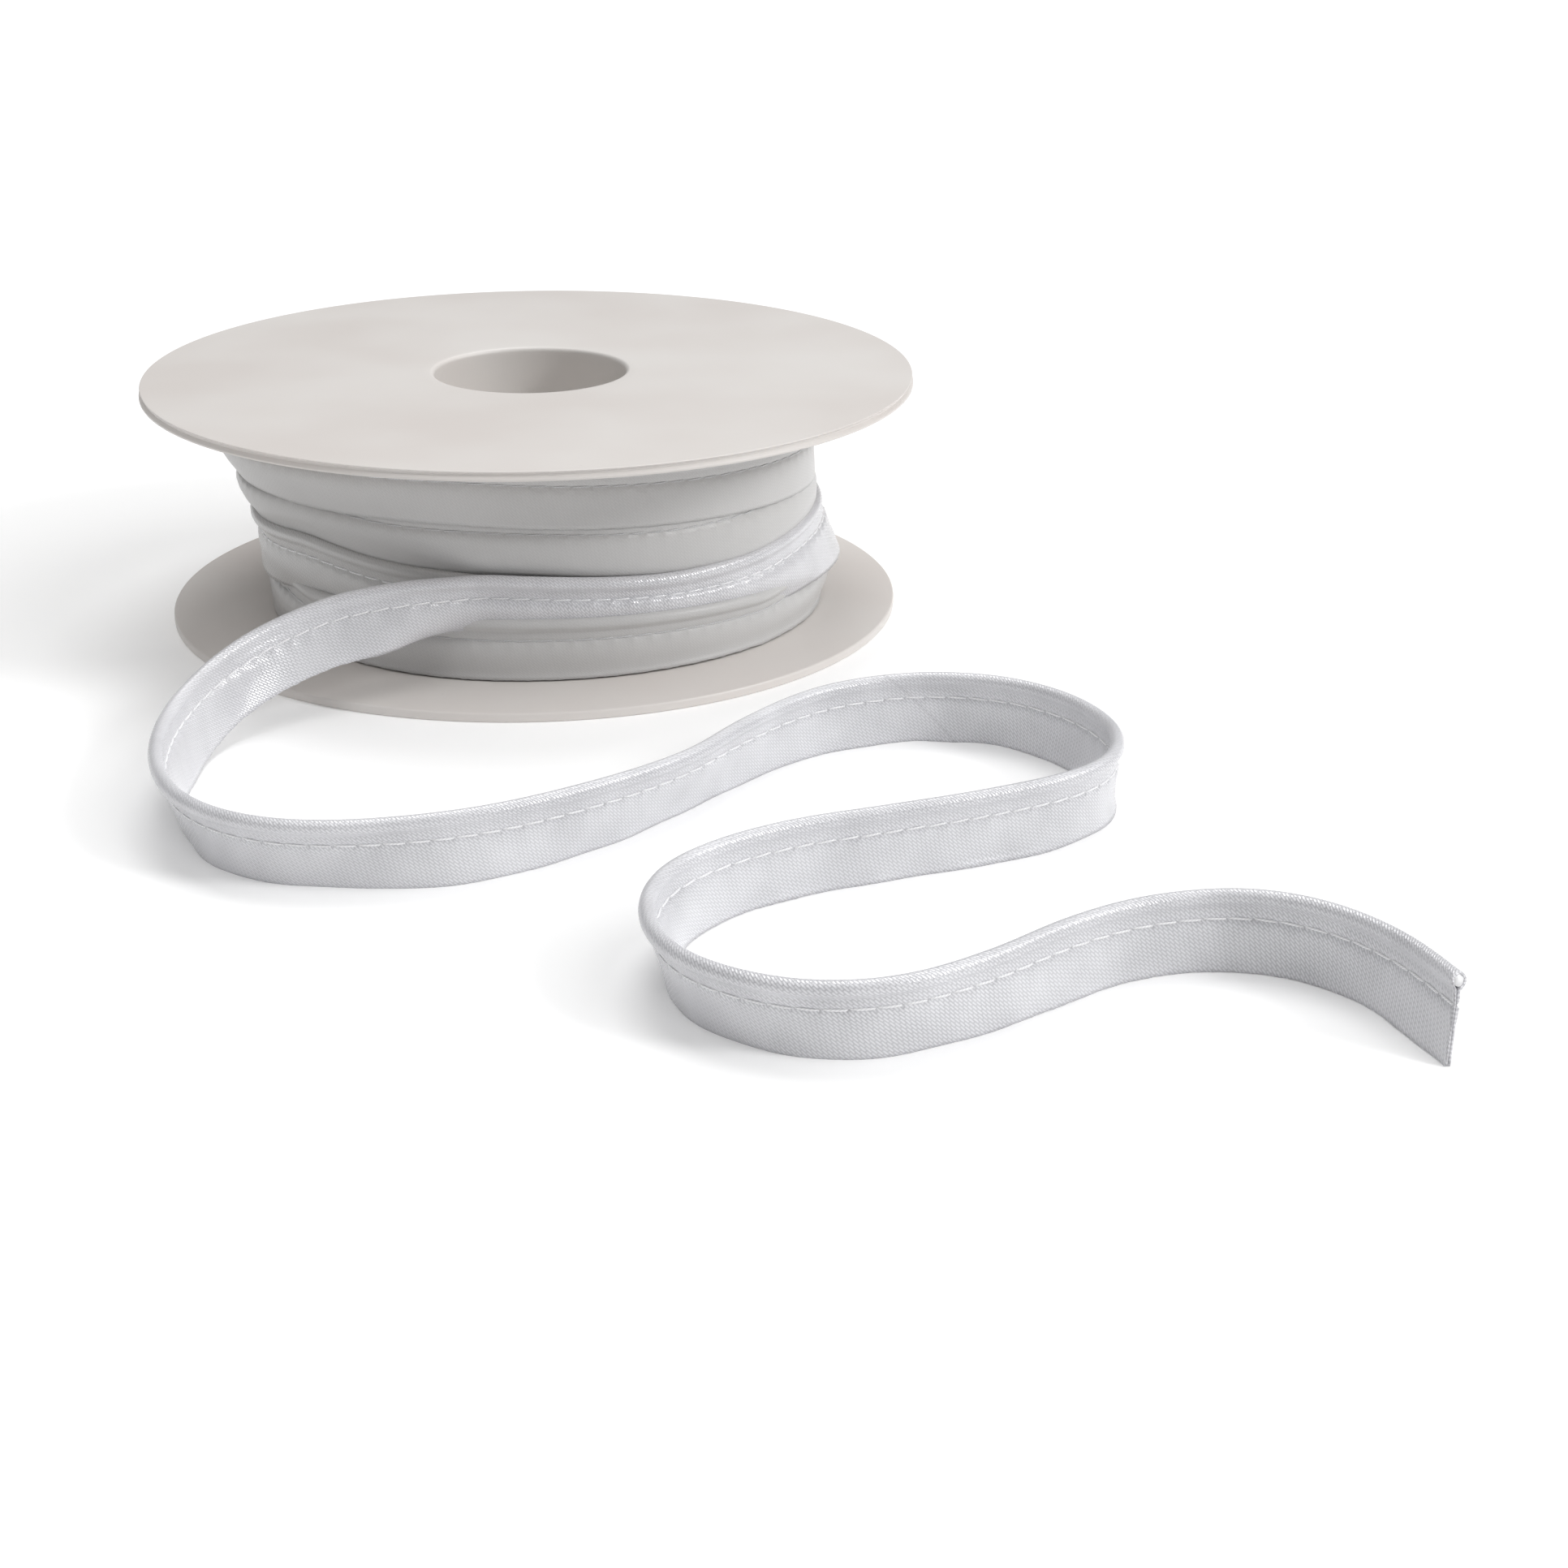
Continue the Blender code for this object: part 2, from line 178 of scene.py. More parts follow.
class Shade:
    """A shader socket that takes part in Python's arithmetic by adding Math nodes."""

    def __init__(self, tree, socket=None):
        self.tree = tree
        self.socket = socket

    def node(self, kind, settings=None, sockets=None, out=0):
        """Adds a node, makes its settings first, and fills its sockets by name or number."""
        made = self.tree.nodes.new(kind)
        for name, value in (settings or {}).items():
            setattr(made, name, value)
        for name, value in (sockets or {}).items():
            if isinstance(value, Shade):
                self.tree.links.new(value.socket, made.inputs[name])
            else:
                made.inputs[name].default_value = value
        return Shade(self.tree, made.outputs[out])

    def also(self, out):
        """Another output of the same node."""
        return Shade(self.tree, self.socket.node.outputs[out])

    def maths(self, operation, *others):
        values = dict(enumerate((self,) + others))
        return self.node("ShaderNodeMath", {"operation": operation}, values)

    def turned(self, operation, other):
        """The same with the two values changed round, where a number comes first."""
        return self.node("ShaderNodeMath", {"operation": operation}, {0: other, 1: self})

    def __add__(self, other):
        return self.maths("ADD", other)

    __radd__ = __add__

    def __sub__(self, other):
        return self.maths("SUBTRACT", other)

    def __rsub__(self, other):
        return self.turned("SUBTRACT", other)

    def __mul__(self, other):
        return self.maths("MULTIPLY", other)

    __rmul__ = __mul__

    def __truediv__(self, other):
        return self.maths("DIVIDE", other)

    def __pow__(self, other):
        return self.maths("POWER", other)

    def rise(self, start, end):
        """0 below the start and 1 above the end, smooth between."""
        return self.node(
            "ShaderNodeMapRange",
            {"interpolation_type": "SMOOTHSTEP"},
            {"Value": self, "From Min": start, "From Max": end},
        )

    def blend(self, first, second):
        """The first colour where this is 0 and the second where it is 1."""
        return self.node("ShaderNodeMix", {"data_type": "RGBA"}, {0: self, 6: first, 7: second}, 2)


def new_finish(name, roughness, **settings):
    """A material with its own Principled shader, and the same shader as a Shade."""
    finish = bpy.data.materials.new(name)
    finish.use_nodes = True
    shader = finish.node_tree.nodes["Principled BSDF"]
    shader.inputs["Roughness"].default_value = roughness
    for key, value in settings.items():
        shader.inputs[key.replace("_", " ")].default_value = value
    return finish, shader, Shade(finish.node_tree)


def join_to(shader, name, shade):
    shade.tree.links.new(shade.socket, shader.inputs[name])


def moulded_plastic():
    """Warm white polystyrene: a fine eggshell grain from the mould, and a few small specks."""
    finish, shader, shade = new_finish("warm_white_polystyrene", 0.42, IOR=1.55)
    place = shade.node("ShaderNodeTexCoord", out="Object")
    cloud = shade.node("ShaderNodeTexNoise", sockets={"Vector": place, "Scale": 22.0, "Detail": 3.0})
    grain = shade.node("ShaderNodeTexNoise", sockets={"Vector": place, "Scale": 2600.0, "Detail": 2.0})
    specks = shade.node("ShaderNodeTexVoronoi", sockets={"Vector": place, "Scale": 95.0})
    speck = 1.0 - specks.rise(0.012, 0.03)
    body = cloud.rise(0.2, 0.8).blend((0.70, 0.655, 0.625, 1), (0.72, 0.695, 0.67, 1))
    join_to(shader, "Base Color", (speck * 0.10).blend(body, (0.35, 0.31, 0.27, 1)))
    join_to(shader, "Roughness", 0.36 + 0.12 * cloud.rise(0.25, 0.75) + 0.05 * grain)
    relief = grain + 0.3 * cloud
    dents = shade.node(
        "ShaderNodeBump", sockets={"Strength": 0.35, "Distance": 0.02 * MM, "Height": relief}
    )
    join_to(shader, "Normal", dents)
    return finish


reel.data.materials.append(moulded_plastic())
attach(reel, "root")
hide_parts("upper_flange", "core_tube", "lower_flange")


# Under the turns that show lie some forty turns more, pressed tight together on the tube, as
# one solid that ends just inside the outer turns. The tape is white satin, woven with long
# floats and cut on the bias, so its ribs cross it at 45 degrees and glint in the light.
UNDER_RADIUS = 51.2 * MM
UNDER_GAP = 0.3 * MM
UNDER_DIP = 0.6 * MM
UNDER_ROUND = 1.5 * MM
UNDER_STEPS = 120
RIB_PITCH = 0.385
FLOAT_LENGTH = 1.25
FLOAT_SHIFT = 0.44
JOIN_SHIFT = 0.3
# How much the join's crease dips the relief and darkens the colour, as painted shade.
JOIN_CREASE_SHADE = 0.7
DULLER = 0.09


def satin(name, dark, light, gloss, roughness, relief, join=None, shaded_beside_turns=None):
    """Bias satin, between a dark and a light colour: the dark is painted shade in the gaps
    between the ribs and the light is painted light on their crowns. The cloth map holds metres
    along and across the cut strip. A join is the slanting seam between two cut strips: its place
    in millimetres at the edge, and its slope; its crease is darkened with painted shade. Beside
    other turns the satin takes their two colours, a darker copy that is painted shade, up to
    the first place in millimetres, and has its own from the second."""
    finish, shader, shade = new_finish(name, roughness[0], Specular_IOR_Level=gloss)
    cloth = shade.node("ShaderNodeUVMap", {"uv_map": "cloth"})
    along = shade.node("ShaderNodeSeparateXYZ", sockets={0: cloth})
    across = along.also("Y") * 1000.0
    along = along * 1000.0
    place = shade.node("ShaderNodeTexCoord", out="Object")
    drift = shade.node("ShaderNodeTexNoise", sockets={"Vector": place, "Scale": 120.0, "Detail": 2.0})
    slub = shade.node("ShaderNodeTexNoise", sockets={"Vector": place, "Scale": 900.0, "Detail": 1.0})
    # Beside the other turns the colours are theirs, painted shade, fading to the satin's own; there it
    # is also duller and its relief lower.
    if shaded_beside_turns:
        unshaded_share = along.rise(shaded_beside_turns[0], shaded_beside_turns[1])
        dark = unshaded_share.blend(shaded_beside_turns[2], dark)
        light = unshaded_share.blend(shaded_beside_turns[3], light)
    if join:
        beside = along + join[1] * across - join[0]
        along = along + JOIN_SHIFT * beside.maths("GREATER_THAN", 0.0)
        crease_and_shade = 1.0 - beside.maths("ABSOLUTE").rise(0.02, 0.22)
    with_float = (along - across) * math.sqrt(0.5) + 0.5 * drift
    over_float = (along + across) * math.sqrt(0.5) + 0.12 * slub
    rib = over_float / RIB_PITCH
    rib_turn = rib.maths("FRACT") * 2.0 - 1.0
    float_place = with_float / FLOAT_LENGTH + rib.maths("FLOOR") * FLOAT_SHIFT
    float_turn = float_place.maths("FRACT") * 2.0 - 1.0
    crown = 1.0 - rib_turn * rib_turn
    ends = 1.0 - float_turn ** 6.0
    weave = crown * ends
    # Along the join the crease is darkened: painted shade, with a dip in the relief and a duller
    # gloss.
    if join:
        weave = weave - JOIN_CREASE_SHADE * crease_and_shade
    # The colour is painted shade in the gaps between the ribs and painted light on their crowns, with
    # a random drift of tone over it.
    rib_shade_and_tone = 0.15 + 0.6 * weave + 0.4 * drift
    rough = roughness[0] + (roughness[1] - roughness[0]) * weave
    height = weave
    if shaded_beside_turns:
        rough = rough + DULLER * (1.0 - unshaded_share)
        height = weave * (0.5 + 0.5 * unshaded_share)
    join_to(shader, "Base Color", rib_shade_and_tone.blend(dark, light))
    join_to(shader, "Roughness", rough)
    threads = shade.node(
        "ShaderNodeBump", sockets={"Strength": 1.0, "Distance": relief, "Height": height}
    )
    join_to(shader, "Normal", threads)
    return finish


under = start_section(
    "inner_turns", TUBE_RADIUS + UNDER_GAP, UNDER_RADIUS, FLANGE + UNDER_GAP,
    REEL_HEIGHT - FLANGE - UNDER_GAP
)
pick(under, lambda co: co.x > reel_x + UNDER_RADIUS - NEAR)
bpy.ops.mesh.subdivide(number_cuts=3)
for height in (0.25, 0.75):
    edge_z = FLANGE + height * (REEL_HEIGHT - 2 * FLANGE)
    pick(under, lambda co: co.x > reel_x + UNDER_RADIUS - NEAR and abs(co.z - edge_z) < 1 * MM)
    bpy.ops.transform.translate(value=(-UNDER_DIP, 0.0, 0.0))
    bpy.ops.mesh.bevel(offset=UNDER_ROUND, segments=4, affect="VERTICES")
spin_section(under, UNDER_STEPS, 60)
cloth_map = under.data.uv_layers.new(name="cloth")
for face in under.data.polygons:
    middle = face.center
    face_turn = math.atan2(middle.x - reel_x, middle.y - reel_y)
    for loop in face.loop_indices:
        point = under.data.vertices[under.data.loops[loop].vertex_index].co
        turn = math.atan2(point.x - reel_x, point.y - reel_y) - face_turn
        turn = (turn + math.pi) % (2 * math.pi) - math.pi + face_turn
        cloth_map.data[loop].uv = (turn * UNDER_RADIUS, point.z)
# The turns on the reel take a darker, duller copy of the same satin as the loose end: its darker
# colours are painted shade on the winding.
SHADED_WOUND_DARK = (0.535, 0.53, 0.525, 1)
SHADED_WOUND_LIGHT = (0.61, 0.605, 0.60, 1)
shaded_wound_satin = satin("shaded_wound_bias_satin", SHADED_WOUND_DARK, SHADED_WOUND_LIGHT, 0.25, (0.42, 0.28), 0.012 * MM)
under.data.materials.append(shaded_wound_satin)
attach(under, "root")


# The outer turns of the tape: a satin strip 26 mm wide, folded over a thin cord and sewn
# together 4.3 mm below the fold, which makes tape 12 mm wide with a round bead along its top.
# Four turns show, one below the other, and a lower edge sinks behind the next bead.
TAPE_WIDTH = 12.0 * MM
BEAD = 1.2 * MM
CLOTH = 0.33 * MM
FLAT = TAPE_WIDTH - BEAD
STITCH_DEPTH = 3.1 * MM
STITCH_PITCH = 3.6 * MM
STITCH_STATIONS = (0.0, 0.1, 0.27, 0.5, 0.73, 0.9)
LINES_ACROSS = 28
FACE_DEPTHS = np.array([10.8, 10.1, 9.2, 7.6, 5.9, 4.8, 4.0, 3.5, 3.1, 2.7, 2.2, 1.7, 1.3]) * MM
LINING_DEPTHS = np.array([10.8, 8.5, 5.5, 3.1, 1.1]) * MM
BEAD_TURNS = np.radians(np.arange(-40, 221, 20))
LINING_TURNS = np.radians(np.arange(-40, 221, 65))
TIGHTEST_LAYERS = 0.02 * MM
RAW_EDGE = 0.05 * MM
BEAD_START = 0.63 * MM
LAYERS_APART = 0.03 * MM
ABOVE_FLANGE = 0.03 * MM
SUNK_THREAD = 0.11 * MM
THREAD_SIDES = 6
STITCH_LEAN = 0.16 * MM
PLY_LENGTH = 0.55 * MM

# Bias cloth gives, so a turn may be this much narrower or wider than it is when flat.
LEAST_STRETCH = 0.86
MOST_STRETCH = 1.06

# Heights of the creases between the bands and radii of the bands, in millimetres. The angle
# runs clockwise seen from above, from the front. B has its bead under A's lower edge.
WRAP_COLUMNS = ("angle", "a_b", "b_c", "c_d", "a", "b", "b_foot", "c", "c_foot", "d", "d_foot")
WRAPS = np.array((
    (-24, 29.0, 19.0, 12.0, 55.0, 54.4, 52.4, 51.8, 51.6, 54.6, 54.0),
    (2, 30.8, 20.6, 13.6, 55.2, 54.5, 52.9, 52.6, 52.4, 54.6, 54.0),
    (14, 31.0, 21.5, 13.5, 55.4, 54.6, 52.7, 53.2, 52.6, 54.6, 54.0),
    (30, 31.0, 22.2, 13.8, 56.2, 55.0, 52.8, 53.8, 52.6, 53.9, 53.4),
    (50, 30.8, 24.3, 13.4, 57.4, 55.8, 53.2, 54.3, 52.8, 53.2, 52.4),
    (70, 30.3, 22.6, 12.9, 58.6, 56.4, 53.6, 54.5, 53.0, 52.4, 51.4),
    (90, 30.0, 22.2, 12.6, 59.0, 56.4, 54.0, 54.2, 53.2, 52.2, 51.0),
    (125, 30.4, 22.2, 12.8, 57.8, 55.8, 54.0, 54.6, 54.0, 53.6, 52.8),
    (160, 31.2, 22.4, 12.6, 56.0, 55.0, 53.8, 55.0, 54.8, 54.8, 54.2),
    (195, 31.0, 22.0, 12.2, 55.2, 54.6, 53.8, 55.4, 55.4, 55.6, 55.0),
    (230, 30.0, 21.6, 11.6, 54.8, 54.4, 54.0, 55.6, 56.4, 56.4, 55.8),
    (258, 27.6, 21.6, 9.6, 54.8, 54.6, 54.6, 55.8, 58.9, 57.4, 56.4),
    (276, 25.6, 21.4, 8.2, 54.8, 54.8, 54.8, 55.9, 60.3, 58.2, 56.0),
    (284, 26.0, 21.3, 9.6, 54.9, 54.8, 54.8, 55.9, 59.0, 57.6, 56.2),
    (292, 26.6, 21.2, 10.6, 55.0, 54.8, 54.9, 55.8, 57.8, 57.3, 56.2),
    (315, 28.0, 19.8, 12.2, 55.0, 54.6, 54.8, 55.8, 55.8, 56.2, 55.6),
    (335, 29.0, 19.7, 12.9, 55.0, 54.5, 53.9, 55.6, 54.8, 55.4, 54.8),
    (360, 30.3, 21.4, 13.5, 55.1, 54.5, 52.9, 55.5, 54.5, 54.8, 54.2),
    (371, 30.8, 21.8, 13.6, 55.3, 54.6, 52.8, 55.4, 54.5, 54.6, 54.0),
), dtype=float)
HIDDEN_ROWS = 2
WRAP_REACH = 12.0
WRAP_SOFTNESS = 4.5
RING_STEP = 0.5
RING_START = 180.0
RING_RADIUS = 53.5 * MM


def wrap_readings(angles, ring):
    """Each column of the wraps at these angles, eased so that no row shows as a corner."""
    rows = WRAPS[HIDDEN_ROWS:-1] if ring else WRAPS
    reach = np.arange(-WRAP_REACH, WRAP_REACH + 0.01, RING_STEP)
    weights = np.exp(-((reach / WRAP_SOFTNESS) ** 2))
    weights /= weights.sum()
    readings = {}
    for column, name in enumerate(WRAP_COLUMNS[1:], 1):
        around = angles[:, None] + reach[None, :]
        period = 360.0 if ring else None
        values = np.interp(around, rows[:, 0], rows[:, column], period=period)
        readings[name] = values @ weights * MM
    return readings


def curve_through(points, steps):
    """A smooth curve through these points, with as many steps from each to the next."""
    padded = np.vstack([2 * points[0] - points[1], points, 2 * points[-1] - points[-2]])
    fine = []
    for i in range(1, len(padded) - 2):
        before, start, end, after = padded[i - 1 : i + 3]
        for part in np.arange(steps) / steps:
            fine.append(0.5 * (
                2 * start + (end - before) * part
                + (2 * before - 5 * start + 4 * end - after) * part ** 2
                + (3 * start - before - 3 * end + after) * part ** 3
            ))
    fine.append(points[-1])
    return np.array(fine)


def line_down(points):
    """Even points from the bead's middle to the tape's lower edge on a curve through these."""
    points = np.array(points)
    beyond = points[-1] + unit(points[-1] - points[-2]) * FLAT
    fine = np.vstack([curve_through(points, 10), beyond])
    run = np.append(0.0, np.cumsum(np.linalg.norm(np.diff(fine, axis=0), axis=1)))
    width = min(max(run[-2], LEAST_STRETCH * FLAT), MOST_STRETCH * FLAT)
    depths = np.linspace(0.0, width, LINES_ACROSS)
    return np.stack([np.interp(depths, run, fine[:, i]) for i in (0, 1)], axis=1)


def band_a(r):
    top = r["a_b"] + 11.6 * MM
    puff = smooth_rise((r["a"] - 55.4 * MM) / (2.6 * MM)) * MM
    return [
        (r["a"] - BEAD, top - BEAD),
        (r["a"] + 1.1 * puff - 1.35 * MM, top - 4.3 * MM),
        (r["a"] + 1.1 * puff - 1.0 * MM, top - 7.0 * MM),
        (min(r["a"], r["b"]) - 0.72 * MM, r["a_b"] - 0.3 * MM),
    ]


def band_b(r):
    sag = r["b"] - r["b_foot"]
    height = r["a_b"] - r["b_c"]
    return [
        (r["b"] - 2.6 * MM, r["b_c"] + 10.0 * MM),
        (r["b"] - 1.4 * MM, r["a_b"] + 0.2 * MM),
        (r["b"] - 0.5 * MM, r["a_b"] - 0.3 * height),
        (r["b"] - 0.3 * sag - 0.4 * MM, r["a_b"] - 0.6 * height),
        (r["b_foot"] - 0.4 * MM, r["b_c"] + 0.5 * MM),
        (r["b_foot"] - 0.6 * MM, r["b_c"] - 0.5 * MM),
    ]


def c_over_d(r):
    """1 where C's lower edge lies on D, and 0 where it sinks behind D's bead."""
    return min(max((r["c_foot"] - r["d"] + 0.3 * MM) / (0.9 * MM), 0.0), 1.0)


def band_c(r):
    over = c_over_d(r)
    width = r["b_c"] - r["c_d"]
    hidden = max(TAPE_WIDTH - width, 0.6 * MM)
    slope = (r["c_foot"] - r["c"]) / width
    foot = r["c_foot"] - 0.7 * MM
    behind = r["d"] - 2.9 * MM
    return [
        (r["c"] - BEAD, r["b_c"] - BEAD),
        (r["c"] + slope * 4.3 * MM - 1.35 * MM, r["b_c"] - 4.3 * MM),
        (r["c"] + slope * 0.7 * width - 0.75 * MM, r["b_c"] - 0.7 * width),
        (foot, r["c_d"] + 0.5 * MM),
        (over * foot + (1 - over) * behind, r["c_d"] - hidden),
    ]


def band_d(r):
    under_c = c_over_d(r)
    top = under_c * 13.9 * MM + (1 - under_c) * r["c_d"]
    bead = r["d"] - BEAD - under_c * 1.9 * MM
    return [
        (bead, top - BEAD),
        (bead - 0.15 * MM + under_c * 0.9 * MM, top - 4.3 * MM),
        (r["d"] - 0.95 * MM, 0.55 * (top - 4.3 * MM) + 0.45 * 2.3 * MM),
        (r["d_foot"] - 0.8 * MM, 3.1 * MM),
        (r["d_foot"] - 0.45 * MM, 1.85 * MM),
    ]


def wound_lines(band, angles, ring):
    """Points down the tape's middle at each angle: (angles, lines across, 3)."""
    readings = wrap_readings(angles, ring)
    lines = []
    for i, angle in enumerate(np.radians(angles)):
        line = line_down(band({name: values[i] for name, values in readings.items()}))
        x = reel_x - line[:, 0] * math.sin(angle)
        y = reel_y - line[:, 0] * math.cos(angle)
        lines.append(np.stack([x, y, line[:, 1]], axis=1))
    return np.array(lines)


def smooth_rise(value):
    value = np.clip(value, 0.0, 1.0)
    return value * value * (3 - 2 * value)


def run_along(lines):
    """Distance along the tape of each row of points, measured at its stitches."""
    stitch_line = lines[:, round(STITCH_DEPTH / FLAT * (LINES_ACROSS - 1))]
    return np.append(0.0, np.cumsum(np.linalg.norm(np.diff(stitch_line, axis=0), axis=1)))


def read_lines(lines, run, places):
    """The rows of points at these distances along the tape."""
    flat_rows = lines.reshape(len(lines), -1)
    read = [np.interp(places, run, flat_rows[:, i]) for i in range(flat_rows.shape[1])]
    return np.stack(read, axis=1).reshape(len(places), lines.shape[1], 3)


def station_places(length, ring):
    """Places along the tape, closer at the needle holes, and the pitch that fits the length."""
    count = max(round(length / STITCH_PITCH), 1)
    pitch = length / count
    places = (np.arange(count)[:, None] + np.array(STITCH_STATIONS)[None, :]).ravel() * pitch
    return (places if ring else np.append(places, length)), pitch


def unit(vectors):
    return vectors / np.linalg.norm(vectors, axis=-1, keepdims=True)


def right_of(lines, ring):
    """The direction square to the cloth, to the right of the way the tape runs."""
    if ring:
        ahead = np.roll(lines, -1, axis=0) - np.roll(lines, 1, axis=0)
    else:
        ahead = np.gradient(lines, axis=0)
    return unit(np.cross(np.gradient(lines, axis=1), ahead))


def at_depths(lines, depths):
    """Points at these depths below the bead's middle, one for each row and depth."""
    place = np.asarray(depths) / FLAT * (LINES_ACROSS - 1)
    low = np.minimum(place.astype(int), LINES_ACROSS - 2)
    part = (place - low)[..., None]
    if place.ndim == 1:
        return lines[:, low] * (1 - part) + lines[:, low + 1] * part
    rows = np.arange(len(lines))[:, None]
    return lines[rows, low] * (1 - part) + lines[rows, low + 1] * part


def parted(depth):
    """From 0 at the stitches to 1 at the edge, for two layers that stand apart below."""
    return smooth_rise((depth / MM - 4.2) / 6.6)


def flared(depth):
    """From 0 to 1 over the last millimetres, for an edge that curls outwards."""
    return np.clip((depth / MM - 8.3) / 2.5, 0.0, None) ** 2


def half_tape(run, depth, pitch):
    """Half the folded tape's thickness: the neck under the bead, the stitches' groove, and
    the dimple and pucker at each needle hole. Each line below gives a swell's or groove's
    height, place and width in millimetres."""
    hole = ((run / pitch + 0.5) % 1.0 - 0.5) * pitch / MM
    down = (depth - STITCH_DEPTH) / MM
    neck = 2.0 * np.exp(-depth / (0.42 * MM)) + 0.09 * np.exp(-(((depth / MM - 2.25) / 0.45) ** 2))
    groove = 0.18 * np.exp(-((down / 0.36) ** 2)) * (1 - 0.35 * np.exp(-((hole / 0.3) ** 2)))
    dimple = 0.15 * np.exp(-((hole / 0.30) ** 2) - (down / 0.25) ** 2)
    pucker = 0.22 * np.exp(-(((hole - 0.12) / 0.40) ** 2) - ((down - 0.42) / 0.30) ** 2)
    crimp = 0.06 * np.exp(-((hole / 0.5) ** 2) - ((down + 0.5) / 0.4) ** 2)
    pull = 0.04 * np.cos(2 * math.pi * run / pitch) * np.exp(-((down - 0.9) / 1.1) ** 2)
    swell = 0.17 * np.exp(-(((down - 1.35) / 0.85) ** 2))
    return (0.37 + neck - groove - dimple + pucker + crimp + pull + swell) * MM


def cloth_piece(name, points, faces, uv):
    """A new piece of these points and faces, with its cloth map."""
    mesh = bpy.data.meshes.new(name)
    mesh.from_pydata(points.tolist(), [], faces)
    cloth_map = mesh.uv_layers.new(name="cloth")
    cloth_map.data.foreach_set("uv", np.array(uv, dtype=np.float32).ravel())
    mesh.shade_smooth()
    mesh.update()
    piece = bpy.data.objects.new(name, mesh)
    bpy.context.scene.collection.objects.link(piece)
    return piece


def cloth_mesh(name, rings, places, across, ring, length):
    """Skin of the tape's sections with its cloth map, closed as a ring or capped at both ends.
    As its corners are ordered here, the faces of tape and cord point inwards."""
    count, around = rings.shape[:2]
    rows = np.arange(count if ring else count - 1)
    following = (rows + 1) % count
    columns = np.arange(around)
    beside = (columns + 1) % around
    here = rows[:, None] * around
    there = following[:, None] * around
    faces = np.stack([here + columns, here + beside, there + beside, there + columns], axis=2)
    faces = faces.reshape(-1, 4)
    ahead = np.append(places[1:], length) if ring else places[1:]
    behind = places if ring else places[:-1]
    u = np.stack([behind, behind, ahead, ahead], axis=1)[:, None]
    u = np.broadcast_to(u, (len(rows), around, 4))
    v = np.stack([across, across[beside], across[beside], across], axis=1)
    v = np.broadcast_to(v, (len(rows), around, 4))
    uv = np.stack([u, v], axis=3).reshape(-1, 2)
    face_list = faces.tolist()
    if not ring:
        face_list.append(columns[::-1].tolist())
        face_list.append((columns + (count - 1) * around).tolist())
        first = np.stack([np.full(around, places[0]), across[::-1]], axis=1)
        last = np.stack([np.full(around, places[-1]), across], axis=1)
        uv = np.vstack([uv, first, last])
    return cloth_piece(name, rings.reshape(-1, 3), face_list, uv)


def fold_tape(name, lines, ring, extras, lowest):
    """The satin strip folded over its cord, with a face, a lining and an edge on each side.
    The extras give how far the right and left layers stand off at a run and depth."""
    if ring:
        lines = np.concatenate([lines, lines[:1]])
    run = run_along(lines)
    places, pitch = station_places(run[-1], ring)
    rows = read_lines(lines, run, places)
    right = right_of(rows, ring)
    down = unit(np.gradient(rows, axis=1))
    run_column = places[:, None]
    sections = []
    thinner = 1 - 0.45 * np.exp(-(((LINING_DEPTHS - STITCH_DEPTH) / (0.6 * MM)) ** 2))
    for side, extra in ((1, extras[0]), (-1, extras[1])):
        half = half_tape(run_column, FACE_DEPTHS[None, :], pitch)
        half = half + extra(run_column, FACE_DEPTHS[None, :])
        face = at_depths(rows, FACE_DEPTHS)
        face = face + side * half[..., None] * unit(at_depths(right, FACE_DEPTHS))
        frayed = RAW_EDGE * (np.sin(places / (0.83 * MM) + side) + np.sin(places / (0.31 * MM)))
        face[:, 0] += frayed[:, None] * at_depths(down, FACE_DEPTHS[:1])[:, 0]
        half = half_tape(run_column, LINING_DEPTHS[None, :], pitch) - CLOTH * thinner
        half = np.maximum(half + extra(run_column, LINING_DEPTHS[None, :]), TIGHTEST_LAYERS)
        lining = at_depths(rows, LINING_DEPTHS)
        lining = lining + side * half[..., None] * unit(at_depths(right, LINING_DEPTHS))
        sections.append((face, lining))
    turns = []
    for radius, angles in ((BEAD, BEAD_TURNS), (BEAD - CLOTH, LINING_TURNS)):
        out = np.cos(angles)[None, :, None] * right[:, :1]
        up = -np.sin(angles)[None, :, None] * down[:, :1]
        turns.append(rows[:, :1] + radius * (out + up))
    rings = np.concatenate([
        sections[0][0], turns[0], sections[1][0][:, ::-1],
        sections[1][1], turns[1][:, ::-1], sections[0][1][:, ::-1],
    ], axis=1)
    rings[..., 2] = np.maximum(rings[..., 2], lowest)
    rise_face = FLAT - FACE_DEPTHS
    rise_bead = rise_face[-1] + BEAD_START + BEAD * (BEAD_TURNS - BEAD_TURNS[0])
    total = 2 * (rise_face[-1] + BEAD_START) + BEAD * (BEAD_TURNS[-1] - BEAD_TURNS[0])
    lining_bead = np.interp(LINING_TURNS, BEAD_TURNS, rise_bead)
    rise_lining = FLAT - LINING_DEPTHS
    across = np.concatenate([
        rise_face, rise_bead, total - rise_face[::-1],
        total - rise_lining, lining_bead[::-1], rise_lining[::-1],
    ])
    piece = cloth_mesh(name, rings, places, across, ring, run[-1])
    return piece, (lines, run, pitch)


